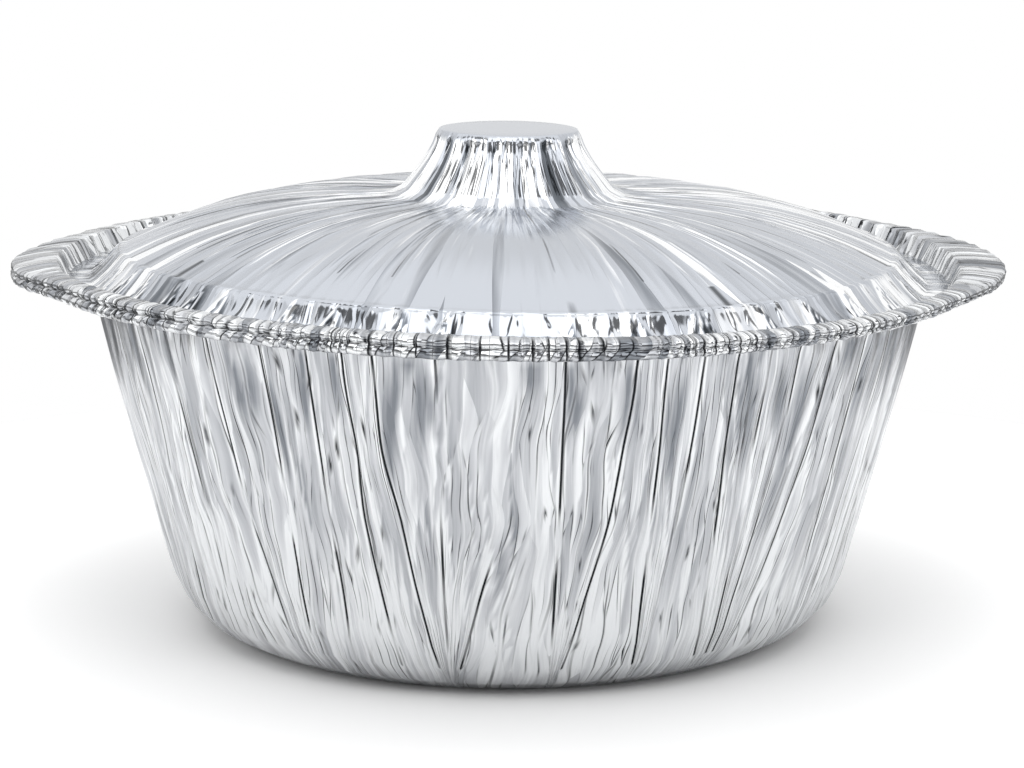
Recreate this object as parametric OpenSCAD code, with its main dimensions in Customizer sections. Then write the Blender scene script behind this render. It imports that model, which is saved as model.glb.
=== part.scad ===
// Foil cooking pot with two ear handles and a lid that rests inside its rim.
// Each piece is one pressed sheet of foil. A section is a path of [radius, height] points that
// runs along the underside of the sheet, from its middle to its free edge. The section changes
// with the angle round the pot, which gives the wrinkles, the pleats and the ears.

/* [Foil] */
// Thickness of the sheet
foil_t = 0.1; // [0.08:0.01:0.2]
// How much lower the rim stands at the right ear than at the left one
rim_drop = 2.8; // [0:0.1:6]
// How much lower the rim stands at the back than at the front
back_drop = 0.9; // [0:0.1:4]
// How far the rim is twisted up at its front left and back right
rim_twist = 1; // [0:0.1:3]

/* [Pot] */
// Width of the flat part of the base
base_d = 170; // [150:1:186]
// Width of the panel pushed up in the middle of the base
panel_d = 124; // [60:1:136]
// How far that panel is pushed up
panel_lift = 1.5; // [0.5:0.1:4]
// Radius of the rounded corner between base and wall
corner_r = 24; // [12:1:32]
// Width of the mouth, where the wall meets the ledge
mouth_d = 263.6; // [250:0.1:270]
// Height of the ledge that carries the lid
ledge_z = 110.6; // [80:0.1:150]
// How far the wall bows outward halfway up
wall_bow = 0.4; // [0:0.1:3]
// Number of upright wrinkles round the wall
wrinkles = 80; // [60:4:80]
// How far a wrinkle stands out from the wall
wrinkle_depth = 0.8; // [0:0.1:1.6]

/* [Rim] */
// Width of the ledge from the mouth to the foot of the upright
ledge_w = 8.1; // [7:0.1:12]
// Height of the rim above the ledge
rim_h = 6.4; // [5:0.1:10]
// How far the upright leans out on its way to the top
upright_lean = 3.4; // [1:0.1:5]
// Width of the flat top of the rim, from the upright to the hem
rim_w = 3; // [1:0.1:8]
// Width across the rolled hem
hem_w = 2.8; // [2:0.1:4]
// Height of the hem, from the top of the rim to its lowest point
hem_h = 6; // [5:0.1:9]
// How much shorter the hem is at its shortest place
hem_uneven = 1.8; // [0:0.1:2.4]
// Angle from the right side to that place, towards the front
short_turn = 32; // [0:1:60]
// How far the hem is pinched in at its waist
waist = 0.9; // [0.2:0.1:1.2]
// How far the crimps stand out from the hem
crimp_depth = 0.5; // [0:0.05:0.8]

/* [Ears] */
// How far an ear reaches out past the rim
ear_reach = 9.8; // [4:0.1:16]
// How far the tip of the left ear hangs below the rim
left_droop = 2.4; // [0:0.1:6]
// How far the tip of the right ear hangs below the rim
right_droop = 0.4; // [0:0.1:6]
// How much shorter the hem is at an ear
ear_hem = 0.6; // [0:0.1:2]
// Angle round the pot from the middle of an ear to its end
ear_span = 29; // [18:1:40]
// Angle of each ear's middle behind the line from side to side
ear_turn = 3; // [0:1:10]
// How far the ridges on an ear stand up
ear_ridge = 0.5; // [0:0.1:1]

/* [Lid] */
// Running gap between the ledge and the lid's flange
lid_gap = 0.3; // [0.2:0.1:0.6]
// Running gap between the foot of the upright and the lid's edge
edge_gap = 0.5; // [0.3:0.1:2]
// Width of the lid's flat flange
flange_w = 7; // [4:0.1:8]
// Width of the pleated band, from the flange in to the shoulder
band_w = 9; // [6:0.1:16]
// Height of the pleated band
band_h = 8.3; // [5:0.1:14]
// Rise of the dome from the shoulder to the foot of the knob
dome_h = 16.9; // [8:0.1:26]
// How late the dome turns down towards the shoulder
dome_turn = 2.6; // [1.6:0.1:3.4]
// Number of pleats round the band
pleats = 60; // [40:2:60]
// How far a pleat stands out from the band
pleat_depth = 1.5; // [0:0.1:2]

/* [Knob] */
// Width of the flat disc on top of the knob
disc_d = 43.4; // [30:0.2:56]
// Width of the knob at its foot
foot_d = 73; // [60:1:90]
// Height of the knob above the dome
knob_h = 21.2; // [14:0.1:30]
// How much the sides of the knob curve in
knob_flare = 1.5; // [1:0.1:2.5]
// How far a facet of the crimped side stands out
facet_depth = 0.9; // [0:0.1:1.4]

/* [Hidden] */
foil_colour = [0.80, 0.82, 0.85];
lid_colour = [0.86, 0.87, 0.89];
crease_seed = 11;
pleat_seed = 23;
edge_round = 1;
fillet_r = 1.8;

// Columns round each piece: the finest rings have two to a wrinkle or a pleat,
// and the counts are rounded so that coarser rings can share every second or fourth column
pot_columns = 8 * round(wrinkles / 4);
lid_columns = 4 * round(pleats / 2);
wall_sizes = rands(0.35, 1, pot_columns, crease_seed);
wall_shifts = rands(-0.3, 0.3, pot_columns, crease_seed + 1);
pleat_sizes = rands(0.3, 1, lid_columns, pleat_seed);
pleat_shifts = rands(-0.25, 0.25, lid_columns, pleat_seed + 1);

// Places along the rim, worked out from the mouth outward
neck_r = mouth_d / 2 + ledge_w;
crest_r = neck_r + upright_lean;
hem_r = crest_r + rim_w + hem_w;
rim_z = ledge_z + rim_h;
hem_z = rim_z - hem_h;

// The wall is the straight line from the mouth that just touches the rounded corner
corner_mid = [base_d / 2, corner_r];
mouth = [mouth_d / 2, ledge_z - fillet_r];
mouth_off = mouth - corner_mid;
wall_turn = atan2(mouth_off[1], mouth_off[0]) - acos(corner_r / norm(mouth_off));

// Places along the lid, worked out from its edge inward
flange_z = ledge_z + foil_t + lid_gap;
lid_r = neck_r - foil_t - edge_gap;
band_r = lid_r - flange_w;
shoulder_r = band_r - band_w;
shoulder_z = flange_z + band_h;
dome_z = shoulder_z + dome_h;
foot_r = foot_d / 2;
disc_r = disc_d / 2;
disc_z = dome_z + knob_h;

// Plain helpers
function polar(mid, r, angle) = mid + r * [cos(angle), sin(angle)];
function mix(a, b, t) = a + (b - a) * t;
function zigzag(i) = i % 2 == 0 ? 1 : -1;
function apart(a, b) = abs((a - b + 540) % 360 - 180);

// Share of an ear at angle a: 1 at its middle and 0 from its ends on
function ear_part(a, mid) = apart(a, mid) < ear_span ? pow(cos(90 * apart(a, mid) / ear_span), 1.2) : 0;
function ear(a) = ear_part(a, ear_turn) + ear_part(a, 180 - ear_turn);

// Share of the hem's short stretch at angle a: 1 at its shortest place and fading either way
function short_part(a) = pow(cos(apart(a, -short_turn) / 2), 16);

// Angle of column i, moved a little so that the wrinkles are uneven
function column_angle(i, count, shifts) = 360 / count * (i + shifts[i]);

// Section of the pot at column i, from the middle of the base to the edge rolled in under the hem
function pot_section(i) = let (
    a = column_angle(i, pot_columns, wall_shifts),
    ear_out = ear_reach * ear(a),
    ear_down = right_droop * ear_part(a, ear_turn) + left_droop * ear_part(a, 180 - ear_turn),
    short = ear_hem * min(1, 3 * ear(a)) + hem_uneven * short_part(a),
    ridge = ear_ridge * zigzag(i / 2) * min(1, 3 * ear(a)),
    crease = wrinkle_depth / 2 * zigzag(i) * wall_sizes[i],
    crimp = crimp_depth / 2 * zigzag(i / 2) * wall_sizes[i],
    foot = polar(corner_mid, corner_r, wall_turn),
    out = [ear_out, -ear_down]
) [
    [0, panel_lift],
    [panel_d / 2 - 2 * panel_lift, panel_lift],
    [panel_d / 2, 0],
    [base_d / 2, 0],
    polar(corner_mid, corner_r, mix(-90, wall_turn, 0.4)),
    polar(corner_mid, corner_r, mix(-90, wall_turn, 0.75)),
    foot + [crease / 4, 0],
    mix(foot, mouth, 0.36) + [wall_bow + crease, 0],
    mix(foot, mouth, 0.7) + [wall_bow + crease, 0],
    mouth + [crease / 2, 0],
    [mouth_d / 2 + fillet_r, ledge_z],
    [neck_r, ledge_z],
    [crest_r - upright_lean * 0.25, rim_z - rim_h * 0.25],
    [crest_r, rim_z] - [0, ear_down / 6],
    [crest_r + rim_w / 2, rim_z + 0.2] + out / 2 + [0, ridge],
    [hem_r - hem_w * 0.4, rim_z - 0.3] + out + [0, ridge / 2],
    [hem_r + crimp, rim_z - hem_h * 0.25] + out,
    [hem_r - waist, rim_z - hem_h * 0.46] + out,
    [hem_r + 0.5 + crimp - short / 2, rim_z - hem_h * 0.7 + short / 2] + out,
    [hem_r - 0.3 + crimp - short / 2, hem_z + 0.2 + short] + out,
    [hem_r - hem_w * 0.75 - short / 2, hem_z + short] + out,
    [hem_r - hem_w + 0.2, hem_z + hem_h * 0.25 + short] + out
];

// How many points the ring at each place of the pot's section has
function pot_rings() = [
    1,
    for (k = [1:3]) pot_columns / 4,
    for (k = [4:5]) pot_columns / 2,
    for (k = [6:9]) pot_columns,
    for (k = [10:21]) pot_columns / 2
];

// Place on the dome at radius r: nearly level by the knob, then turning down to the shoulder
function dome_point(r) = [
    r,
    dome_z - dome_h * pow((r - foot_r) / (shoulder_r - foot_r), dome_turn)
];

// Place on the knob's side, where t runs from 0 under the disc to 1 at the foot
function knob_point(t, facet) = [
    mix(disc_r + edge_round, foot_r - 2, pow(t, knob_flare)) + facet,
    mix(disc_z - edge_round, dome_z + 1.5, t)
];

// Section of the lid at column i, from the middle of the disc to the edge of the flange
function lid_section(i) = let (
    facet = facet_depth / 2 * zigzag(i / 2) * pleat_sizes[i],
    fold = pleat_depth / 2 * zigzag(i) * pleat_sizes[i]
) [
    [0, disc_z],
    [disc_r, disc_z],
    knob_point(0, facet / 2),
    knob_point(0.35, facet),
    knob_point(0.7, facet),
    knob_point(1, facet / 2),
    dome_point(foot_r + 2) + [0, facet / 4],
    dome_point(mix(foot_r, shoulder_r, 0.3)) + [0, facet / 2],
    dome_point(mix(foot_r, shoulder_r, 0.62)) + [0, facet / 2],
    dome_point(mix(foot_r, shoulder_r, 0.86)) + [0, fold / 3],
    dome_point(shoulder_r) + [fold, fold / 2],
    [mix(shoulder_r, band_r, 0.5) + fold, mix(shoulder_z, flange_z, 0.5)],
    [band_r + fold / 2, flange_z],
    [lid_r, flange_z]
];

// How many points the ring at each place of the lid's section has
function lid_rings() = [
    1, for (k = [1:8]) lid_columns / 2, for (k = [9:12]) lid_columns, lid_columns / 2
];

// Left-hand normal of a section at place k, across its two neighbours
function section_normal(path, k) = let (
    last = len(path) - 1,
    along = path[min(k + 1, last)] - path[max(k - 1, 0)]
) k == 0 ? [0, 1] : [-along[1], along[0]] / norm(along);

// The upper side of the sheet: the section moved by its thickness along its normals
function upper_side(path) = [for (k = [0:len(path) - 1]) path[k] + foil_t * section_normal(path, k)];

// The rim isn't level: heights shrink towards the right and the back, and are twisted
function leaned(x, y, z) = let (
    drop = (rim_drop * x + back_drop * y) / (2 * hem_r),
    twist = 2 * rim_twist * x * y / pow(hem_r, 2)
) [x, y, z * (1 + (twist - drop) / ledge_z)];
function placed(p, a) = leaned(p[0] * cos(a), p[0] * sin(a), p[1]);

// Points of every ring, from the sections at all columns
function ring_points(sections, angles, rings) = [
    for (k = [0:len(rings) - 1])
        for (j = [0:rings[k] - 1])
            let (i = j * len(sections) / rings[k])
                placed(sections[i][k], angles[i])
];

// Faces between ring a of na points from index ia on, and ring b of nb points from ib on.
// A ring may have as many points as the next, half as many, or twice as many.
function strip(ia, na, ib, nb) =
    na == 1 ? [for (j = [0:nb - 1]) [ia, ib + j, ib + (j + 1) % nb]]
    : na == nb ? [
        for (j = [0:na - 1]) let (k = (j + 1) % na)
            each [[ia + j, ib + j, ib + k], [ia + j, ib + k, ia + k]]
    ]
    : nb == 2 * na ? [
        for (j = [0:na - 1]) let (k = (j + 1) % na, m = 2 * j)
            each [
                [ia + j, ib + m, ib + m + 1],
                [ia + j, ib + m + 1, ia + k],
                [ia + k, ib + m + 1, ib + (m + 2) % nb]
            ]
    ]
    : [
        for (j = [0:nb - 1]) let (k = (j + 1) % nb, m = 2 * j)
            each [
                [ia + m, ib + j, ia + m + 1],
                [ib + j, ib + k, ia + m + 1],
                [ia + m + 1, ib + k, ia + (m + 2) % na]
            ]
    ];

function flipped(faces) = [for (f = faces) [f[2], f[1], f[0]]];
function sum_before(rings, k) = k == 0 ? 0 : rings[k - 1] + sum_before(rings, k - 1);

// A closed sheet: the underside, the upper side turned over, and the strip along the free edge
module sheet(sections, angles, rings) {
    last = len(rings) - 1;
    starts = [for (k = [0:last]) sum_before(rings, k)];
    total = starts[last] + rings[last];
    under = [for (k = [0:last - 1]) each strip(starts[k], rings[k], starts[k + 1], rings[k + 1])];
    over = [for (f = flipped(under)) [f[0] + total, f[1] + total, f[2] + total]];
    edge = strip(starts[last], rings[last], starts[last] + total, rings[last]);
    uppers = [for (s = sections) upper_side(s)];
    polyhedron(
        points = concat(ring_points(sections, angles, rings), ring_points(uppers, angles, rings)),
        faces = concat(under, over, edge)
    );
}

// Pot: base, wrinkled wall, ledge, upright, and the rolled hem that is drawn out into both ears
module pot() {
    color(foil_colour)
        sheet(
            [for (i = [0:pot_columns - 1]) pot_section(i)],
            [for (i = [0:pot_columns - 1]) column_angle(i, pot_columns, wall_shifts)],
            pot_rings()
        );
}

// Lid: knob, dome, pleated band and the flange that lies on the ledge
module lid() {
    color(lid_colour)
        sheet(
            [for (i = [0:lid_columns - 1]) lid_section(i)],
            [for (i = [0:lid_columns - 1]) column_angle(i, lid_columns, pleat_shifts)],
            lid_rings()
        );
}

pot();
lid();
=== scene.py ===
import bpy
import numpy as np
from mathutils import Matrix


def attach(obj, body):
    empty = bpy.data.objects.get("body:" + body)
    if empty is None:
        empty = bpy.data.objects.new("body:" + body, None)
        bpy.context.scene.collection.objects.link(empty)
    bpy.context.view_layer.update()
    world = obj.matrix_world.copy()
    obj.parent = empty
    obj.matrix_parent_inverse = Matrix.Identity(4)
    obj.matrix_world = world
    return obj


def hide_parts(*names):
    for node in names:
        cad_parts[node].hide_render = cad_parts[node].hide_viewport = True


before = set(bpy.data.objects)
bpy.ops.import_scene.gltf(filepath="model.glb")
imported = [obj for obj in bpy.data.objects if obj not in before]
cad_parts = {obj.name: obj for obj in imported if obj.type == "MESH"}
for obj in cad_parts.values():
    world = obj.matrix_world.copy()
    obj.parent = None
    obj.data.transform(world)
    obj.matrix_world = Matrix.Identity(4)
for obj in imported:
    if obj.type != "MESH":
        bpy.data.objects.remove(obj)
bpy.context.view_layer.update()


# The pot
# One sheet of aluminium foil, 0.1 mm thick. A press pushes it down between a ring and a round former,
# which leaves the wall in upright folds, and its edge is rolled outward into a crimped hem.
mm = 0.001
foil = 0.1
base_r = 85.0
panel_r = 62.0
panel_lift = 1.5
corner_r = 24.0
mouth_r = 131.8
ledge_z = 110.6
fillet = 1.8
neck_r = mouth_r + 8.1
crest_r = neck_r + 3.4
hem_r = crest_r + 3.0 + 2.8
rim_z = ledge_z + 6.4
hem_z = rim_z - 6.0
ear_reach = 9.6
ear_span = 29.0
ear_bearing = 93.0
lean_right = 2.8
lean_back = 0.9
lean_twist = 2.0
flow_width = 754.0

# Each main fold of the wall runs from a bearing at the mouth to a bearing at the foot. Neighbours lean
# together in pairs, and meet in points just above the base.
front_folds = [
    (-66, -67), (-58, -61), (-51, -51), (-42, -36), (-33, -33), (-26, -25.5), (-21, -17), (-17, -10.5),
    (-9, -9.5), (1, -8.5), (7, 6.5), (16, 7.8), (20, 20.3), (25, 21.5), (30, 32), (35, 34),
    (40, 35), (47, 37), (54, 52), (61, 57), (68, 66),
]
back_tops = np.linspace(76, 284, 21) + np.random.default_rng(5).uniform(-2.4, 2.4, 21)
back_feet = back_tops + np.where(np.arange(21) % 2 == 0, 4.2, -4.2)
fold_tops = np.concatenate([np.array(front_folds)[:, 0], back_tops])
fold_feet = np.concatenate([np.array(front_folds)[:, 1], back_feet])
fold_count = len(fold_tops)
fold_columns = 20
pot_columns = fold_count * fold_columns


def soft_noise(turn, run, across, along, seed):
    """Smooth noise from -1 to 1: a random value at each corner of a grid of across by along cells, and
    between the corners a blend by smooth steps. It closes on itself after one turn."""
    corners = np.random.default_rng(seed).uniform(-1, 1, (across, along + 2))
    x, y = np.broadcast_arrays(turn * across, run * along)
    i, j = np.floor(x).astype(int), np.floor(y).astype(int)
    s, t = x - i, y - j
    s, t = s * s * (3 - 2 * s), t * t * (3 - 2 * t)
    i, k = i % across, (i + 1) % across
    low = corners[i, j] * (1 - s) + corners[k, j] * s
    high = corners[i, j + 1] * (1 - s) + corners[k, j + 1] * s
    return low * (1 - t) + high * t


def facets(columns, run, widths, along, seed):
    """Flat facets from -1 to 1 that meet in sharp creases, the number of columns from each point to the
    nearest hollow crease, and a random tone from -1 to 1 for each facet. The creases stand at uneven
    columns, a random number of them apart, in turn hollow and raised, and each has a random depth at each
    of the steps along the sheet. Between creases the depth goes in a straight line, and along them by
    smooth steps. They close after one turn."""
    random = np.random.default_rng(seed)
    places = np.cumsum(random.integers(widths[0], widths[1] + 1, columns))
    places = places[places < columns - widths[0]]
    places = places[:len(places) // 2 * 2]
    raised = np.arange(len(places)) % 2
    depths = random.uniform(0.35, 1, (len(places), along + 1)) * (2 * raised - 1)[:, None]
    depths = np.concatenate([depths, depths[:1]])
    places = np.append(places, places[0] + columns)
    x = (np.arange(columns) - places[0]) % columns + places[0]
    i = np.clip(np.searchsorted(places, x, side="right") - 1, 0, len(places) - 2)
    s = (x - places[i]) / (places[i + 1] - places[i])
    y = np.clip(run, 0, 1)[:, 0] * along
    j = np.clip(np.floor(y).astype(int), 0, along - 1)
    t = (y - j)[:, None]
    t = t * t * (3 - 2 * t)
    at = lambda i: depths[i][:, j].T * (1 - t) + depths[i][:, j + 1].T * t
    tones = random.uniform(-1, 1, len(places))[i] + 0 * t
    return at(i) * (1 - s) + at(i + 1) * s, np.where(i % 2, places[i + 1] - x, x - places[i]), tones


def narrow_folds(bearing, down, middles, widths, starts, lengths, lean, seed):
    """Narrow folds shaped like the lens between two arcs: how high each point stands on one, from 0 to 1,
    and that height with a minus sign on the fold's right flank. Each fold starts at one of the bearings
    named middles, has its own width in degrees, its own start and length down the sheet, and leans to one
    side by up to twice the lean, in degrees, at its end."""
    random = np.random.default_rng(seed)
    height, flank = np.zeros(bearing.shape), np.zeros(bearing.shape)
    for middle in middles:
        width, start, length = random.uniform(*widths), random.uniform(*starts), random.uniform(*lengths)
        along = 2 * (down - start) / length - 1
        lens = np.clip(1 - along**2, 0, 1)
        apart = (bearing - middle - random.uniform(-lean, lean) * (along + 1) + 540) % 360 - 180
        ridge = np.clip(1 - np.abs(apart) / (width * lens + 0.05), 0, 1) * lens
        flank = np.where(ridge > height, -np.sign(apart) * ridge, flank)
        height = np.maximum(height, ridge)
    return height, flank


def scattered(count, seed):
    """Random bearings in degrees."""
    return np.random.default_rng(seed).uniform(0, 360, count)


def threaded(knots, steps):
    """Rows of points on a smooth path through the knots. The path passes each knot along the line from
    the knot before to the knot after, as fast as the shorter of the two spans beside it, and between
    two knots it is the cubic with those ends."""
    spans = np.linalg.norm(np.diff(knots, axis=0), axis=-1, keepdims=True)
    shorter = np.minimum(np.concatenate([spans[:1], spans]), np.concatenate([spans, spans[-1:]]))
    chords = np.concatenate([knots[1:], knots[-1:]]) - np.concatenate([knots[:1], knots[:-1]])
    slopes = chords / np.linalg.norm(chords, axis=-1, keepdims=True) * shorter
    rows = []
    for k, count in enumerate(steps):
        t = np.arange(count)[:, None, None] / count
        rows.append(
            (2 * t**3 - 3 * t**2 + 1) * knots[k] + (t**3 - 2 * t**2 + t) * slopes[k]
            + (3 * t**2 - 2 * t**3) * knots[k + 1] + (t**3 - t**2) * slopes[k + 1]
        )
    return np.concatenate(rows + [knots[-1:]])


def ear_part(bearing, middle):
    """Share of an ear: 1 at its middle, falling as a cosine to the power 1.2, and 0 past its ends."""
    apart = np.abs((bearing - middle + 540) % 360 - 180)
    return np.where(apart < ear_span, np.cos(np.radians(90 * np.minimum(apart / ear_span, 1))) ** 1.2, 0)


def leaned(section, bearing):
    """Points in space of a section of radii and heights at each bearing. The rim isn't level: heights
    shrink towards the right and the back, and are twisted up at the front left and the back right."""
    x = section[..., 0] * np.sin(np.radians(bearing))
    y = -section[..., 0] * np.cos(np.radians(bearing))
    drop = (lean_right * x + lean_back * y) / (2 * hem_r)
    twist = lean_twist * x * y / hem_r**2
    return np.stack([x, y, section[..., 1] * (1 + (twist - drop) / ledge_z)], axis=-1)


def sheet_mesh(name, section, bearing, run, slant, layers):
    """A closed sheet of foil: its underside, its upper side one thickness away along the section's
    normals, and a strip along the free edge. The first row of the section is one point, the middle.
    Known fault: the faces are wound so that they point into the foil, and not outwards.
    The map named flow spreads the sheet flat, in metres, to the even width of a ring of radius 120 mm:
    from the back and round across it, with a slant at each row, and by the run of the rows along it.
    Each layer is stored as one number for each point, alike on both sides."""
    along = np.gradient(section, axis=0)
    across = np.stack([-along[..., 1], along[..., 0]], axis=-1)
    across /= np.linalg.norm(across, axis=-1, keepdims=True)
    across[0] = [0, 1]
    under = leaned(section, bearing)
    upper = leaned(section + foil * across, bearing)
    rows, columns = bearing.shape
    points = np.concatenate([under[0, :1], under[1:].reshape(-1, 3), upper[0, :1], upper[1:].reshape(-1, 3)])
    ring = 1 + np.arange((rows - 1) * columns).reshape(rows - 1, columns)
    following = np.roll(ring, -1, axis=1)
    other = len(points) // 2
    sides = np.stack([ring[:-1], ring[1:], following[1:], following[:-1]], axis=2).reshape(-1, 4)
    edge = np.stack([ring[-1], ring[-1] + other, following[-1] + other, following[-1]], axis=1)
    fan = np.stack([np.zeros(columns, int), ring[0], following[0]], axis=1)
    quads = np.concatenate([sides, sides[:, ::-1] + other, edge])
    mesh = bpy.data.meshes.new(name)
    mesh.from_pydata(points * mm, [], quads.tolist() + fan.tolist() + (fan[:, ::-1] + other).tolist())
    mesh.polygons.foreach_set("use_smooth", np.ones(len(mesh.polygons), bool))
    pitch = flow_width / columns
    across = (np.arange(columns) - np.argmin(np.abs(bearing[-1] - 180))) % columns * pitch + slant
    left = np.stack(np.broadcast_arrays(across, run), axis=-1)[1:]
    right = left + [pitch, 0]
    flat_sides = np.stack([left[:-1], left[1:], right[1:], right[:-1]], axis=2).reshape(-1, 4, 2)
    flat_edge = np.stack([left[-1], left[-1], right[-1], right[-1]], axis=1)
    flat_fan = np.stack([left[0] * [1, 0], left[0], right[0]], axis=1)
    parts = [flat_sides, flat_sides[:, ::-1], flat_edge, flat_fan, flat_fan[:, ::-1]]
    flow = np.concatenate([part.ravel() for part in parts]) * mm
    mesh.uv_layers.new(name="flow").data.foreach_set("uv", flow)
    for layer, values in layers.items():
        values = np.append(values[0, 0], values[1:])
        mesh.attributes.new(layer, "FLOAT", "POINT").data.foreach_set("value", np.tile(values, 2))
    piece = bpy.data.objects.new(name, mesh)
    bpy.context.scene.collection.objects.link(piece)
    return piece


def pot_section():
    """Radii and heights of the pot's rows, before its folds, and the share of an ear at each column."""
    folds_passed = np.arange(pot_columns) / fold_columns
    top = np.interp(folds_passed, np.arange(fold_count + 1), [*fold_tops, fold_tops[0] + 360])
    left, right = ear_part(top, -ear_bearing), ear_part(top, ear_bearing)
    out = ear_reach * (left + right)
    down = 0.4 * right + 2.4 * left
    # The hem is shorter along the ears, and shortest at the front right
    short = 0.6 * np.minimum(1, 3 * (left + right))
    short = short + 1.8 * np.cos(np.radians((top - 58 + 540) % 360 - 180) / 2) ** 16
    off = np.array([mouth_r - base_r, ledge_z - fillet - corner_r])
    turn = np.arctan2(off[1], off[0]) - np.arccos(corner_r / np.hypot(*off))
    arc = np.linspace(-np.pi / 2, turn, 5)
    foot = np.array([base_r + corner_r * np.cos(turn), corner_r + corner_r * np.sin(turn)])
    mouth = np.array([mouth_r, ledge_z - fillet])
    flat = [
        (0, panel_lift), (panel_r - 4, panel_lift), (panel_r - 2, panel_lift * 0.8),
        (panel_r - 0.6, 0.2), (panel_r + 1, 0),
        *[(base_r + corner_r * np.cos(a), corner_r + corner_r * np.sin(a)) for a in arc],
        *[foot + (mouth - foot) * t + [0.4, 0] for t in (0.36, 0.7)], mouth,
        (mouth_r + fillet, ledge_z), (neck_r - 0.8, ledge_z),
    ]
    rim = [
        (neck_r + 0.2 + 0 * out, ledge_z + 0.3 + 0 * out),
        (crest_r - 0.85 + 0 * out, rim_z - 1.6 + 0 * out),
        (crest_r + 0 * out, rim_z - down / 6),
        (crest_r + 1.5 + out / 2, rim_z + 0.2 - down / 2),
        (hem_r - 1.1 + out, rim_z - 0.3 - down),
        (hem_r + out, rim_z - 1.5 - down),
        (hem_r - 0.9 + out, rim_z - 2.76 - down),
        (hem_r + 0.5 - short / 2 + out, rim_z - 4.2 + short / 2 - down),
        (hem_r - 0.3 - short / 2 + out, hem_z + 0.2 + short - down),
        (hem_r - 2.1 - short / 2 + out, hem_z + short - down),
        (hem_r - 2.6 + out, hem_z + 1.5 + short - down),
    ]
    knots = [np.broadcast_to(p, (pot_columns, 2)) for p in flat] + [np.stack(p, axis=-1) for p in rim]
    steps = [1, 1, 1, 1, 1, 1, 1, 1, 1, 9, 9, 8, 2, 1, 1, 2, 1, 2, 2, 2, 2, 2, 2, 2, 1]
    return threaded(np.stack(knots), steps), left + right


pot_rows, ears = pot_section()
radius, height = pot_rows[..., 0], np.maximum(pot_rows[..., 1], 0)
fall = np.clip((ledge_z - 4 - height) / (ledge_z - 10), 0, 1)
column = np.arange(pot_columns)
near, share = column // fold_columns, column % fold_columns / fold_columns
weave = soft_noise(np.arange(fold_count)[None] / fold_count, fall[:, :1], fold_count, 4, 9)
weave = 0.5 * np.sin(np.pi * fall[:, :1]) * weave
fold_lines = fold_tops + (fold_feet - fold_tops) * fall[:, :1] ** 2 + weave
fold_lines = np.concatenate([fold_lines, fold_lines[:, :1] + 360], axis=1)
pot_bearing = fold_lines[:, near] * (1 - share) + fold_lines[:, near + 1] * share
gap = (fold_lines[:, near + 1] - fold_lines[:, near]) * np.pi / 180 * radius

# Each panel between two main folds bulges out, and smaller folds ride on it
turn = (column / pot_columns)[None]
run = np.cumsum(np.append(0, np.linalg.norm(np.diff(pot_rows[:, 0], axis=0), axis=-1)))[:, None]
reach = run / run.max()
on_wall = np.clip((height - 2) / 20, 0, 1) * np.clip((ledge_z - 1.2 - height) / 4, 0.3, 1)
on_wall = on_wall * (radius < mouth_r + 1)
bulge = 0.5 - np.abs(2 * share - 1) ** 2.6
depth = 0.7 + 0.4 * soft_noise(turn, reach, fold_count, 5, 3)
tight = np.clip(gap / 14, 0.1, 1.3)
drop = (ledge_z - height)[:, :1]
waves = facets(pot_columns, reach, (4, 10), 4, 4)[0]
ripple, ripple_flank = narrow_folds(
    pot_bearing, drop, scattered(420, 41),
    widths=(0.7, 2.4), starts=(-12, 92), lengths=(22, 70), lean=1.6, seed=31,
)
dent = narrow_folds(
    pot_bearing, drop, scattered(150, 42),
    widths=(0.8, 2.0), starts=(-8, 6), lengths=(12, 46), lean=1.0, seed=32,
)[0]
wrinkle = on_wall * (tight * (depth * bulge + 0.16 * waves) + 0.24 * ripple - 0.24 * dent)

# The rim and the hem have crimps about 4 mm apart and folds about 7 mm apart, and the ears have ridges
on_rim = np.clip((radius - neck_r) / 2, 0, 1) * (height > ledge_z - 2)
on_top = np.clip((radius - crest_r + 1) / 2, 0, 1)
crimp, crimp_line = facets(pot_columns, reach, (2, 2), 18, 12)[:2]
fold, fold_line, fold_reflection = facets(pot_columns, reach, (2, 4), 22, 13)
lift = facets(pot_columns, reach, (2, 4), 18, 14)[0]
radius = radius + wrinkle + 0.3 * on_rim * (0.3 * crimp + 0.5 * fold) - 0.2 * on_rim
height = height + 0.7 * on_top * lift * (0.3 + 0.4 * np.minimum(1, 2 * ears)) - 0.15 * on_rim
pot_skin = np.stack([radius, height], axis=-1)
pot_skin[0] = [0, panel_lift]

# The distance to the nearest groove, the waist of the hem, and below it the slant of its crimps
grooved = np.clip((height - 3) / 4, 0, 1) * np.clip((ledge_z - 1.2 - height) / 1.5, 0.3, 1)
grooved = grooved * (radius < mouth_r + 1)
to_fold = np.minimum(share, 1 - share) * gap * grooved + 6 * (1 - grooved)
to_crimp = np.minimum(crimp_line + 0.2, fold_line) * 1.1 + 0 * radius
rim_run, waist_run = run[-24], run[-8]
waist = np.exp(-((run - waist_run) / 0.45) ** 2)
slant = 0.6 * np.clip(run - waist_run, 0, None)

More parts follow.
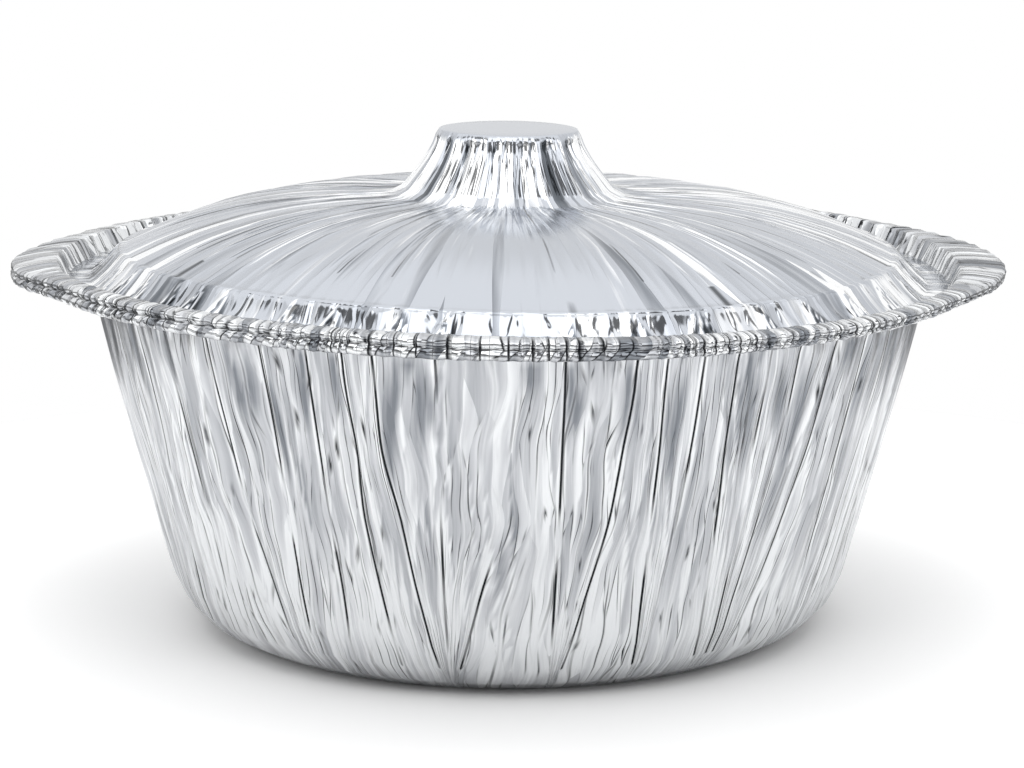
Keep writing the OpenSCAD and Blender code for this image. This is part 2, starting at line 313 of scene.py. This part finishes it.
# Painted light and shade on each face: on the wall, one flank of each fold lighter and the other darker,
# raised folds lighter, painted shade on the dents just below the rim, and the foot painted paler in place of
# a brighter reflection; on the rim, raised facets lighter, hollow ones darker, each facet its own painted
# reflection, a little darker overall and darker still below the waist
wall_painted_light = 0.5 * ripple_flank + 0.25 * ripple - 1.1 * dent + 1.1 * np.clip(1 - height / 55, 0, 1)
rim_painted_light = 0.4 * fold + 0.3 * crimp + 0.4 * fold_reflection - 0.1 - 0.25 * (slant > 0)
pot = sheet_mesh("pot_sheet", pot_skin, pot_bearing, run, slant, {
    "line": np.where(on_rim > 0, to_crimp + 0.15, to_fold),
    "shine": np.broadcast_to(np.clip((run - rim_run) / 2, 0, 1), radius.shape),
    "painted_light": on_wall * wall_painted_light + on_rim * (0.9 + 0.2 * on_top) * rim_painted_light,
    "waist": np.broadcast_to(waist, radius.shape),
})
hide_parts("pot")
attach(pot, "root")


def colour(code):
    """Linear colour of an sRGB hex code."""
    parts = np.array([int(code[i:i + 2], 16) for i in (1, 3, 5)]) / 255
    return (*np.where(parts > 0.04045, ((parts + 0.055) / 1.055) ** 2.4, parts / 12.92), 1)


def add(tree, kind, links=None, **settings):
    """Adds a shader node, gives it its settings, links or sets each input that is named, and gives back
    its outputs."""
    made = tree.nodes.new("ShaderNode" + kind)
    for key, value in settings.items():
        setattr(made, key, value)
    for key, value in (links or {}).items():
        if isinstance(value, bpy.types.NodeSocket):
            tree.links.new(value, made.inputs[key])
        else:
            made.inputs[key].default_value = value
    return made.outputs


def new_tree(name):
    """A material with an empty node tree."""
    made = bpy.data.materials.new(name)
    made.use_nodes = True
    made.node_tree.nodes.clear()
    return made


def creases(tree, vector, scale, width, seed):
    """Facets of stretched cells: the hollow of each, a random tone for each that serves as a painted
    reflection, a thin line on its long edges for painted shade, and the lip beside that line for a
    painted highlight. The line is left out on the short edges at a facet's ends, straight above and
    below its middle, and fades before the corners, which lie farthest from the middle."""
    cell = add(tree, "Mapping", {"Vector": vector, "Location": (seed, seed, 0), "Scale": (*scale, 1)})[0]
    cells = {"Vector": cell, "Scale": 1.0}
    puff = add(tree, "TexVoronoi", cells, voronoi_dimensions="2D", feature="F1")
    edge = add(tree, "TexVoronoi", cells, voronoi_dimensions="2D", feature="DISTANCE_TO_EDGE")["Distance"]
    aside = add(tree, "VectorMath", {0: cell, 1: puff["Position"]}, operation="SUBTRACT")[0]
    aside = add(tree, "SeparateXYZ", {0: aside})[0]
    aside = add(tree, "Math", {0: aside}, operation="ABSOLUTE")[0]
    long = add(tree, "MapRange", {"Value": aside, "From Min": 0.2, "From Max": 0.42})[0]
    off_corner = add(tree, "MapRange", {"Value": puff["Distance"], "From Min": 0.76, "From Max": 0.54})[0]
    long = add(tree, "Math", {0: long, 1: off_corner}, operation="MULTIPLY")[0]
    line = add(tree, "MapRange", {"Value": edge, "From Min": width, "From Max": width * 0.3})[0]
    line = add(tree, "Math", {0: line, 1: long}, operation="MULTIPLY")[0]
    lip = add(tree, "MapRange", {"Value": edge, "From Min": width * 2.6, "From Max": width})[0]
    lip = add(tree, "Math", {0: lip, 1: long}, operation="MULTIPLY")[0]
    painted_light = add(tree, "SeparateXYZ", {0: puff["Color"]})[0]
    return puff["Distance"], painted_light, line, lip


def wall_foil():
    """Aluminium foil pressed into folds: satin on the wall, mirror bright on the crimped rim, with painted
    shade in its creases, painted highlights beside them and painted reflections on its faces.
    """
    made = new_tree("pressed_foil")
    tree = made.node_tree
    flow = add(tree, "UVMap", uv_map="flow")[0]
    line = add(tree, "Attribute", attribute_name="line")["Fac"]
    shine = add(tree, "Attribute", attribute_name="shine")["Fac"]
    painted_light = add(tree, "Attribute", attribute_name="painted_light")["Fac"]
    waist = add(tree, "Attribute", attribute_name="waist")["Fac"]
    dull = add(tree, "Math", {0: 1.0, 1: shine}, operation="SUBTRACT")[0]

    # The folds waver by a millimetre over every 30 mm
    waver = add(tree, "TexNoise", {"Vector": flow, "Scale": 36.0, "Detail": 1.0}, noise_dimensions="2D")
    shift = add(tree, "VectorMath", {0: waver["Color"], 1: (0.5, 0.5, 0.5)}, operation="SUBTRACT")
    bend = (0.005, 0.005, 0)
    bent = add(tree, "VectorMath", {0: shift[0], 1: bend, 2: flow}, operation="MULTIPLY_ADD")[0]
    # Soft silky waves, 5 mm apart and 100 mm long
    silk = add(tree, "Mapping", {"Vector": bent, "Scale": (200, 10, 1)})[0]
    silk = {"Vector": silk, "Scale": 1.0, "Detail": 4.0, "Roughness": 0.6}
    silk = add(tree, "TexNoise", silk, noise_dimensions="2D")[0]
    # Facets 6 mm wide and 65 mm long, finer ones half as large, and crimps on the rim 3.5 mm wide
    puff, _, thin, lip_highlight = creases(tree, bent, (165, 15), 0.06, 0)
    fine_puff, fine_reflection, fine_line = creases(tree, bent, (330, 32), 0.1, 7)[:3]
    crimp_puff, crimp_reflection, crimp_line = creases(tree, bent, (290, 70), 0.1, 13)[:3]

    # Painted shade in the grooves: sharp dark lines, two thirds of a millimetre wide, that come and go over
    # 40 mm
    gate = add(tree, "TexNoise", {"Vector": flow, "Scale": 24.0, "Detail": 1.0}, noise_dimensions="2D")[0]
    some = add(tree, "MapRange", {"Value": gate, "From Min": 0.36, "From Max": 0.5})[0]
    few = add(tree, "MapRange", {"Value": gate, "From Min": 0.42, "From Max": 0.6, "To Min": 0.12})[0]
    groove = add(tree, "MapRange", {"Value": line, "From Min": 0.45, "From Max": 0.2})[0]
    groove = add(tree, "Math", {0: groove, 1: some}, operation="MULTIPLY")[0]

    # Painted shade as hairlines on the edges of the facets, which come and go too, and as crimp lines on the
    # rim only
    thin = add(tree, "Math", {0: thin, 1: few}, operation="MULTIPLY")[0]
    often = add(tree, "TexNoise", {"Vector": flow, "Scale": 55.0, "Detail": 1.0}, noise_dimensions="2D")[0]
    often = {"Value": often, "From Min": 0.42, "From Max": 0.6, "To Min": 0.05, "To Max": 0.9}
    often = add(tree, "MapRange", often)[0]
    fine_line = add(tree, "Math", {0: fine_line, 1: often}, operation="MULTIPLY")[0]
    thin = add(tree, "Math", {0: thin, 1: fine_line}, operation="MAXIMUM")[0]
    thin = add(tree, "Math", {0: thin, 1: dull}, operation="MULTIPLY")[0]
    crimp_line = add(tree, "Math", {0: crimp_line, 1: shine}, operation="MULTIPLY")[0]
    dark = add(tree, "Math", {0: groove, 1: thin}, operation="MAXIMUM")[0]
    dark = add(tree, "Math", {0: dark, 1: crimp_line}, operation="MAXIMUM")[0]

    # Painted shade in the crease at the waist of the hem, ragged every 2 mm
    ragged = add(tree, "TexNoise", {"Vector": flow, "Scale": 420.0, "Detail": 1.0}, noise_dimensions="2D")[0]
    ragged = add(tree, "MapRange", {"Value": ragged, "From Min": 0.35, "From Max": 0.6})[0]
    waist_shade = add(tree, "Math", {0: waist, 1: ragged}, operation="MULTIPLY")[0]
    dark = add(tree, "Math", {0: dark, 1: waist_shade}, operation="MAXIMUM")[0]

    # The relief in millimetres: silk and facets on the wall, grooves, and crimps on the rim
    relief = add(tree, "Math", {0: silk, 1: 0.8}, operation="MULTIPLY")[0]
    relief = add(tree, "Math", {0: puff, 1: -0.8, 2: relief}, operation="MULTIPLY_ADD")[0]
    relief = add(tree, "Math", {0: fine_puff, 1: -0.3, 2: relief}, operation="MULTIPLY_ADD")[0]
    relief = add(tree, "Math", {0: relief, 1: dull}, operation="MULTIPLY")[0]
    relief = add(tree, "Math", {0: groove, 1: -0.35, 2: relief}, operation="MULTIPLY_ADD")[0]
    puffed = add(tree, "Math", {0: crimp_puff, 1: shine}, operation="MULTIPLY")[0]
    relief = add(tree, "Math", {0: puffed, 1: -1.1, 2: relief}, operation="MULTIPLY_ADD")[0]
    bump = add(tree, "Bump", {"Height": relief, "Strength": 1.0, "Distance": mm})

    # Painted light and shade on the faces: lighter and darker with the silky waves, each facet and crimp its
    # own painted reflection, and a painted highlight on the lip beside each groove and each facet's edge
    light_and_shade = {"Value": silk, "From Min": 0.3, "From Max": 0.7, "To Min": -0.4, "To Max": 0.4}
    light_and_shade = add(tree, "MapRange", light_and_shade)[0]
    fine_reflection = add(tree, "MapRange", {"Value": fine_reflection, "To Min": -0.3, "To Max": 0.3})[0]
    light_and_shade = add(tree, "Math", {0: light_and_shade, 1: fine_reflection}, operation="ADD")[0]
    light_and_shade = add(tree, "Math", {0: lip_highlight, 1: 0.5, 2: light_and_shade}, operation="MULTIPLY_ADD")[0]
    light_and_shade = add(tree, "Math", {0: light_and_shade, 1: dull}, operation="MULTIPLY")[0]
    light_and_shade = add(tree, "Math", {0: light_and_shade, 1: painted_light}, operation="ADD")[0]
    crimp_reflection = add(tree, "MapRange", {"Value": crimp_reflection, "To Min": -1.0, "To Max": 1.2})[0]
    light_and_shade = add(tree, "Math", {0: crimp_reflection, 1: shine, 2: light_and_shade}, operation="MULTIPLY_ADD")[0]
    lip = add(tree, "MapRange", {"Value": line, "From Min": 1.5, "From Max": 0.7, "To Max": 0.7})[0]
    light_and_shade = add(tree, "Math", {0: lip, 1: some, 2: light_and_shade}, operation="MULTIPLY_ADD")[0]
    # The sum paints paler faces as highlight, greyer ones as shade, and the lines near black as shade
    pale = add(tree, "MapRange", {"Value": light_and_shade, "From Max": 0.7})[0]
    grey = add(tree, "MapRange", {"Value": light_and_shade, "From Min": 0.0, "From Max": -1.0})[0]
    satin, bright_satin = colour("#BEC0C4"), colour("#E6E8EA")
    faces = add(tree, "Mix", {"Factor": pale, 6: satin, 7: bright_satin}, data_type="RGBA")[2]
    faces = add(tree, "Mix", {"Factor": grey, 6: faces, 7: colour("#7C8086")}, data_type="RGBA")[2]
    paint = add(tree, "Mix", {"Factor": dark, 6: faces, 7: colour("#1F2225")}, data_type="RGBA")[2]
    rough = add(tree, "MapRange", {"Value": shine, "To Min": 0.28, "To Max": 0.14})[0]
    metal = {"Base Color": paint, "Metallic": 1.0, "Roughness": rough, "Normal": bump[0]}
    add(tree, "OutputMaterial", {"Surface": add(tree, "BsdfPrincipled", metal)[0]})
    return made


pot.data.materials.append(wall_foil())


# The lid
# A second sheet of the same foil, pressed into a low dome with a knob drawn up in its middle. Its edge
# is gathered in a pleated band and ends in a flat flange, which lies loose on the pot's ledge.
flange_z = ledge_z + foil + 0.3
lid_r = neck_r - foil - 0.5
band_r = lid_r - 7.0
shoulder_r = band_r - 9.0
shoulder_z = flange_z + 8.3
dome_rise = 16.9
dome_z = shoulder_z + dome_rise
disc_r = 21.7
foot_r = 36.5
disc_z = dome_z + 21.2
lid_columns = 960


def dome_height(r):
    """Height of the dome at radius r: nearly level by the knob, then turning down ever faster."""
    return dome_z - dome_rise * np.clip((r - foot_r) / (shoulder_r - foot_r), 0, None) ** 2.6


def lid_section():
    """Radii and heights of the lid's rows, before its pleats."""
    side_top = np.array([disc_r + 1, disc_z - 1])
    side_foot = np.array([foot_r - 2, dome_z + 1.5])
    side = [side_top + (side_foot - side_top) * [t**1.5, t] for t in (0.04, 0.2, 0.4, 0.6, 0.8, 0.94)]
    rings = (37, 41, 47, 56, 70, 86, 102, 113, 120.2, 121.6)
    dome = [(r, dome_height(r) + 0.9 * np.exp(-(r - foot_r) / 4)) for r in rings]
    knots = [
        (0, disc_z), (12, disc_z), (disc_r - 1, disc_z), (disc_r + 0.2, disc_z - 0.15), *side, *dome,
        (shoulder_r - 0.5, shoulder_z + 0.8), (shoulder_r + 0.5, shoulder_z + 0.3),
        (shoulder_r + 1.5, shoulder_z - 0.9), (shoulder_r + 4.5, shoulder_z - 4.2),
        (band_r - 1, flange_z + 0.9), (band_r + 0.5, flange_z), (lid_r, flange_z),
    ]
    steps = [1, 1, 1, 1, 3, 3, 3, 3, 2, 1, 1, 1, 2, 2, 2, 2, 2, 1, 1, 1, 1, 1, 3, 3, 1, 2]
    return threaded(np.broadcast_to(np.array(knots)[:, None, :], (len(knots), lid_columns, 2)), steps)


lid_rows = lid_section()
lid_radius, lid_height = lid_rows[..., 0], lid_rows[..., 1]
lid_turn = (np.arange(lid_columns) / lid_columns)[None]
lid_run = np.cumsum(np.append(0, np.linalg.norm(np.diff(lid_rows[:, 0], axis=0), axis=-1)))[:, None]
lid_bearing = np.broadcast_to(360 * lid_turn, lid_radius.shape)
on_side = np.clip((disc_z - 0.5 - lid_height) / 3, 0, 1) * np.clip((44 - lid_radius) / 10, 0, 1)
on_dome = np.clip((lid_radius - 33) / 6, 0, 1) * np.clip((shoulder_r - 2 - lid_radius) / 20, 0, 1)
on_band = np.clip((lid_radius - shoulder_r + 1) / 2, 0, 1) * np.clip((band_r + 2 - lid_radius) / 3, 0, 1)
down_side = np.clip((disc_z - lid_height) / 22, 0, 1)
down_band = np.clip((lid_radius - shoulder_r + 2) / 12, 0, 1)
down_dome = np.clip((lid_radius - 30) / 90, 0, 1)

# Flutes, crumples and notches down the side of the knob, ridges and ribs on the dome, pleats on the band
sunk = disc_z - lid_height
flute, flute_line, flute_reflection = facets(lid_columns, down_side, (16, 40), 1, 21)
crumple, _, crumple_reflection = facets(lid_columns, down_side, (4, 10), 2, 22)
notch, notch_flank = narrow_folds(
    lid_bearing, sunk, scattered(46, 51),
    widths=(2.5, 7), starts=(-3, 0), lengths=(7, 15), lean=3.0, seed=52,
)
ridge, ridge_flank = narrow_folds(
    lid_bearing, lid_radius, scattered(110, 43),
    widths=(0.35, 1.3), starts=(34, 60), lengths=(40, 100), lean=0.6, seed=23,
)
short_ridge, short_flank = narrow_folds(
    lid_bearing, lid_radius, scattered(90, 44),
    widths=(0.7, 2.0), starts=(33, 37), lengths=(12, 34), lean=1.5, seed=24,
)
rib, rib_line = facets(lid_columns, down_dome, (9, 26), 3, 28)[:2]
pleat, pleat_line, pleat_reflection = facets(lid_columns, down_band, (8, 22), 1, 26)

# The band's folds spread like fans from points on the shoulder, 10 to 24 mm apart
gathers = np.cumsum(np.random.default_rng(45).uniform(4.5, 11, 80))
gathers = np.repeat(gathers[gathers < 356], 5)
fan, fan_flank = narrow_folds(
    lid_bearing, lid_radius, gathers,
    widths=(0.5, 1.3), starts=(shoulder_r - 1.5, shoulder_r), lengths=(16, 24), lean=2.4, seed=27,
)
near_shoulder = np.clip((shoulder_r + 4 - lid_radius) / 4, 0, 1)
side_relief = on_side * (0.7 * flute + 0.22 * crumple - 0.5 * notch)
lid_radius = lid_radius + side_relief + on_band * (0.3 * pleat * down_band + 0.7 * fan)
dome_relief = on_dome * (0.3 * ridge + 0.4 * short_ridge + 0.2 * rib)
lid_height = lid_height + dome_relief + near_shoulder * on_band * (0.15 * pleat + 0.8 * fan)

# The distance to the nearest crease, for painted shade lines, and a share that is small at the front and
# the back, which weakens the painted streaks, highlights and shade lines there
on_disc = (on_side == 0) * (lid_radius < disc_r + 1)
inner_line = np.where(on_dome > 0.5, rib_line * 0.006 * lid_radius, flute_line * 0.2)
side_share = 0.05 + 0.95 * np.abs(np.sin(np.radians(lid_bearing))) ** 1.5
lid_skin = np.stack([lid_radius, lid_height], axis=-1)
lid_skin[0] = [0, disc_z]
# Painted light and shade on each face: on the dome, one flank of each ridge lighter and the other darker, the
# long ridges mostly at the sides, and raised ribs lighter; on the knob, each flute and crumple its own
# painted reflection, raised flutes lighter, the whole side lighter and the notches' flanks shaded; on the
# band, each pleat its own painted reflection and the fans' flanks shaded; the disc a little darker
lid = sheet_mesh("lid_sheet", lid_skin, lid_bearing, lid_run, 0, {
    "shine": np.clip(on_side * 1.5 + on_band * 1.5, 0, 1),
    "line": np.where(lid_radius > shoulder_r, pleat_line * 0.85 + 0.2, inner_line) + on_disc,
    "painted_light": on_dome * (1.5 * ridge_flank * side_share + 0.8 * short_flank + 0.15 * rib)
    + on_side * (1.3 * flute_reflection + 0.4 * flute + 0.5 * crumple_reflection + 0.55 - 1.5 * notch_flank)
    + on_band * (0.4 * pleat_reflection + 0.1 + 1.8 * fan_flank) - 0.25 * (lid_radius < disc_r),
    "sides": side_share,
})
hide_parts("lid")
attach(lid, "root")


def dome_foil():
    """Aluminium foil drawn smooth over the dome, with radial creases, and mirror bright where pleated, with
    painted shade in its creases, painted highlights and painted reflections on its faces.
    """
    made = new_tree("drawn_foil")
    tree = made.node_tree
    flow = add(tree, "UVMap", uv_map="flow")[0]
    line = add(tree, "Attribute", attribute_name="line")["Fac"]
    shine = add(tree, "Attribute", attribute_name="shine")["Fac"]
    painted_light = add(tree, "Attribute", attribute_name="painted_light")["Fac"]
    sides = add(tree, "Attribute", attribute_name="sides")["Fac"]
    run = add(tree, "SeparateXYZ", {0: flow})[1]
    # The dome starts 46 mm from the middle of the disc, along the sheet
    knob_run = 46 * mm
    on_dome = add(tree, "MapRange", {"Value": run, "From Min": knob_run, "From Max": knob_run + 6 * mm})[0]
    # Soft radial waves, 6 mm apart and 70 mm long
    silk = add(tree, "Mapping", {"Vector": flow, "Scale": (160, 14, 1)})[0]
    silk = add(tree, "TexNoise", {"Vector": silk, "Scale": 1.0, "Detail": 2.0}, noise_dimensions="2D")[0]
    # Facets 5 mm wide at the shoulder and 80 mm long, between straight creases
    puff, cell_reflection, thin, lip = creases(tree, flow, (220, 13), 0.07, 5)
    # Dimples on the knob and the band, 5 mm wide and 15 mm long
    dimple = add(tree, "Mapping", {"Vector": flow, "Scale": (190, 66, 1)})[0]
    dimple = {"Vector": dimple, "Scale": 1.0, "Detail": 1.0, "Distortion": 0.6}
    dimple = add(tree, "TexNoise", dimple, noise_dimensions="2D")[0]
    dimple = add(tree, "Math", {0: dimple, 1: shine}, operation="MULTIPLY")[0]

    # Painted reflections: a few facets at the sides painted bright and a few more painted darker, with a
    # painted highlight on the lip between
    more = add(tree, "Math", {0: sides, 1: 0.35, 2: cell_reflection}, operation="MULTIPLY_ADD")[0]
    bright = add(tree, "MapRange", {"Value": more, "From Min": 1.11, "From Max": 1.14, "To Max": 0.7})[0]
    dim_reflection = add(tree, "MapRange", {"Value": cell_reflection, "From Min": 0.14, "From Max": 0.1, "To Max": -0.4})[0]
    cell_reflection = add(tree, "Math", {0: bright, 1: dim_reflection}, operation="ADD")[0]
    cell_reflection = add(tree, "Math", {0: cell_reflection, 1: on_dome}, operation="MULTIPLY")[0]
    lip = add(tree, "Math", {0: lip, 1: on_dome}, operation="MULTIPLY")[0]
    lip = add(tree, "Math", {0: lip, 1: sides}, operation="MULTIPLY")[0]
    cell_reflection = add(tree, "Math", {0: lip, 1: 0.35, 2: cell_reflection}, operation="MULTIPLY_ADD")[0]

    # The relief in millimetres: waves and facets on the dome, dimples on the knob and the band
    relief = add(tree, "Math", {0: silk, 1: 0.35}, operation="MULTIPLY")[0]
    relief = add(tree, "Math", {0: puff, 1: -0.35, 2: relief}, operation="MULTIPLY_ADD")[0]
    relief = add(tree, "Math", {0: relief, 1: on_dome}, operation="MULTIPLY")[0]
    past_knob = knob_run + 14 * mm
    deep_dimple = {"Value": run, "From Min": knob_run, "From Max": past_knob, "To Min": 0.25, "To Max": 1.1}
    deep_dimple = add(tree, "MapRange", deep_dimple)[0]
    relief = add(tree, "Math", {0: dimple, 1: deep_dimple, 2: relief}, operation="MULTIPLY_ADD")[0]
    bump = add(tree, "Bump", {"Height": relief, "Strength": 1.0, "Distance": mm})

    # Faces go from grey to white with the painted light and shade, and near black where it is darkest
    light_and_shade = {"Value": silk, "From Min": 0.3, "From Max": 0.7, "To Min": -0.2, "To Max": 0.2}
    light_and_shade = add(tree, "MapRange", light_and_shade)[0]
    light_and_shade = add(tree, "Math", {0: light_and_shade, 1: on_dome}, operation="MULTIPLY")[0]
    light_and_shade = add(tree, "Math", {0: light_and_shade, 1: painted_light}, operation="ADD")[0]
    light_and_shade = add(tree, "Math", {0: light_and_shade, 1: cell_reflection}, operation="ADD")[0]
    pale = add(tree, "MapRange", {"Value": light_and_shade, "From Min": 0.2, "From Max": 0.6})[0]
    grey = add(tree, "MapRange", {"Value": light_and_shade, "From Min": -0.2, "From Max": -0.7})[0]
    deep = add(tree, "MapRange", {"Value": light_and_shade, "From Min": -0.8, "From Max": -1.5})[0]
    silver, bright_silver = colour("#BEC2C9"), colour("#FDFEFF")
    faces = add(tree, "Mix", {"Factor": pale, 6: silver, 7: bright_silver}, data_type="RGBA")[2]
    faces = add(tree, "Mix", {"Factor": grey, 6: faces, 7: colour("#6E737A")}, data_type="RGBA")[2]
    faces = add(tree, "Mix", {"Factor": deep, 6: faces, 7: colour("#33373B")}, data_type="RGBA")[2]

    # Painted shade in the grooves and on the facets' edges: sharp dark lines, half a millimetre wide, that
    # come and go over 35 mm
    gate = add(tree, "TexNoise", {"Vector": flow, "Scale": 28.0, "Detail": 1.0}, noise_dimensions="2D")[0]
    some = add(tree, "MapRange", {"Value": gate, "From Min": 0.42, "From Max": 0.58})[0]
    dark = add(tree, "MapRange", {"Value": line, "From Min": 0.4, "From Max": 0.12, "To Max": 0.9})[0]
    dark = add(tree, "Math", {0: dark, 1: some}, operation="MULTIPLY")[0]
    thin = add(tree, "Math", {0: thin, 1: some}, operation="MULTIPLY")[0]
    thin = add(tree, "Math", {0: thin, 1: on_dome}, operation="MULTIPLY")[0]
    thin = add(tree, "Math", {0: thin, 1: sides}, operation="MULTIPLY")[0]
    dark = add(tree, "Math", {0: dark, 1: thin}, operation="MAXIMUM")[0]
    paint = add(tree, "Mix", {"Factor": dark, 6: faces, 7: colour("#3E4247")}, data_type="RGBA")[2]
    rough = add(tree, "MapRange", {"Value": shine, "To Min": 0.24, "To Max": 0.12})[0]
    metal = {"Base Color": paint, "Metallic": 1.0, "Roughness": rough, "Normal": bump[0]}
    add(tree, "OutputMaterial", {"Surface": add(tree, "BsdfPrincipled", metal)[0]})
    return made


lid.data.materials.append(dome_foil())


# Floor, light and camera
# A round sheet of white paper in a studio: a white backdrop, a soft box overhead and one on each side,
# and dark cards between them that give the foil its dark reflections. The lens is long. Where the paper
# is seen, straight or in the foil, it is lifted to full white, and the rest of its light is kept low.
paper_r = 350 * mm
paper_seen = 1.15
paper_elsewhere = 0.35
floor_mesh = bpy.data.meshes.new("paper")
ring = np.linspace(0, 2 * np.pi, 96, endpoint=False)
outline = np.stack([paper_r * np.cos(ring), paper_r * np.sin(ring), 0 * ring], axis=-1)
floor_mesh.from_pydata(outline.tolist(), [], [list(range(len(ring)))])
floor = bpy.data.objects.new("paper", floor_mesh)
bpy.context.scene.collection.objects.link(floor)
paper = new_tree("white_paper")
sheet = paper.node_tree
ray = add(sheet, "LightPath")
seen = add(sheet, "Math", {0: ray["Is Camera Ray"], 1: ray["Is Transmission Ray"]}, operation="MAXIMUM")[0]
seen = add(sheet, "Math", {0: seen, 1: ray["Is Glossy Ray"]}, operation="MAXIMUM")[0]
direct = add(sheet, "Math", {0: ray["Diffuse Depth"], 1: 0.5}, operation="LESS_THAN")[0]
seen = add(sheet, "Math", {0: seen, 1: direct}, operation="MULTIPLY")[0]
white = add(sheet, "Mix", {"Factor": seen, 2: paper_elsewhere, 3: paper_seen}, data_type="FLOAT")[0]
diffuse = add(sheet, "BsdfDiffuse", {"Color": white})
add(sheet, "OutputMaterial", {"Surface": diffuse[0]})
floor_mesh.materials.append(paper)

world = bpy.data.worlds.new("studio")
bpy.context.scene.world = world
world.use_nodes = True
room = world.node_tree
room.nodes.clear()
towards = add(room, "TexCoord")["Generated"]
side, depth_way, upward = add(room, "SeparateXYZ", {0: towards})
aside = add(room, "Math", {0: side}, operation="ABSOLUTE")[0]


def band_of(value, low, high, edge):
    """1 where the value lies between low and high, and fading to 0 over the edge outside them."""
    rise = add(room, "MapRange", {"Value": value, "From Min": low - edge, "From Max": low})[0]
    ebb = add(room, "MapRange", {"Value": value, "From Min": high + edge, "From Max": high})[0]
    return add(room, "Math", {0: rise, 1: ebb}, operation="MULTIPLY")[0]


def lit(level, *bands):
    """A card of the room: its level, inside all of the given bands."""
    for share in bands:
        level = add(room, "Math", {0: level, 1: share}, operation="MULTIPLY")[0]
    return level


ray = add(room, "LightPath")
mirrored = add(room, "Math", {0: ray["Is Glossy Ray"], 1: ray["Is Transmission Ray"]}, operation="MAXIMUM")[0]
above_floor = band_of(upward, -0.02, 1.0, 0.04)
behind = band_of(depth_way, 0.04, 1.0, 0.06)
overhead = band_of(upward, 0.62, 1.0, 0.03)
in_front = band_of(depth_way, -1.0, -0.02, 0.05)
box_height = band_of(upward, 0.22, 0.66, 0.05)
left_box = band_of(side, -0.95, -0.5, 0.05)
right_box = band_of(side, 0.45, 0.9, 0.05)
cards = [
    # The backdrop behind the pot: to light that scatters, and as white to the foil as to the camera
    lit(0.95, above_floor, behind),
    lit(mirrored, above_floor, behind),
    # The ceiling at the back, the soft box overhead, and the two at the sides
    lit(1.3, band_of(upward, 0.7, 1.0, 0.4), behind),
    lit(2.0, overhead, in_front, band_of(aside, -1.0, 0.36, 0.05)),
    lit(1.7, box_height, left_box, band_of(depth_way, -0.9, 0.1, 0.05)),
    lit(1.7, box_height, right_box, band_of(depth_way, -1.0, 0.1, 0.05)),
    # The floor past the paper, which is lighter towards the camera
    lit(0.75, band_of(upward, -1.0, 0.02, 0.12), band_of(depth_way, -1.0, 0.0, 0.1)),
    lit(0.35, band_of(upward, -1.0, 0.0, 0.02)),
]
# The level of the dark cards between them
level = 0.2
for card in cards:
    level = add(room, "Math", {0: level, 1: card}, operation="MAXIMUM")[0]
shown = add(room, "Mix", {"Factor": ray["Is Camera Ray"], 2: level, 3: 1.0}, data_type="FLOAT")[0]
emit = add(room, "Background", {"Color": (1, 1, 1, 1), "Strength": shown})
add(room, "OutputWorld", {"Surface": emit[0]})

look_down = 11.33
lens = bpy.data.cameras.new("camera")
lens.lens = 108.8
lens.sensor_width = 36.0
lens.shift_x = 0.0034
lens.shift_y = -0.0160
camera = bpy.data.objects.new("camera", lens)
camera.location = (0, -0.97703, 0.27582)
camera.rotation_euler = (np.radians(90 - look_down), 0, 0)
bpy.context.scene.collection.objects.link(camera)
bpy.context.scene.camera = camera
bpy.context.scene.view_settings.view_transform = "Standard"
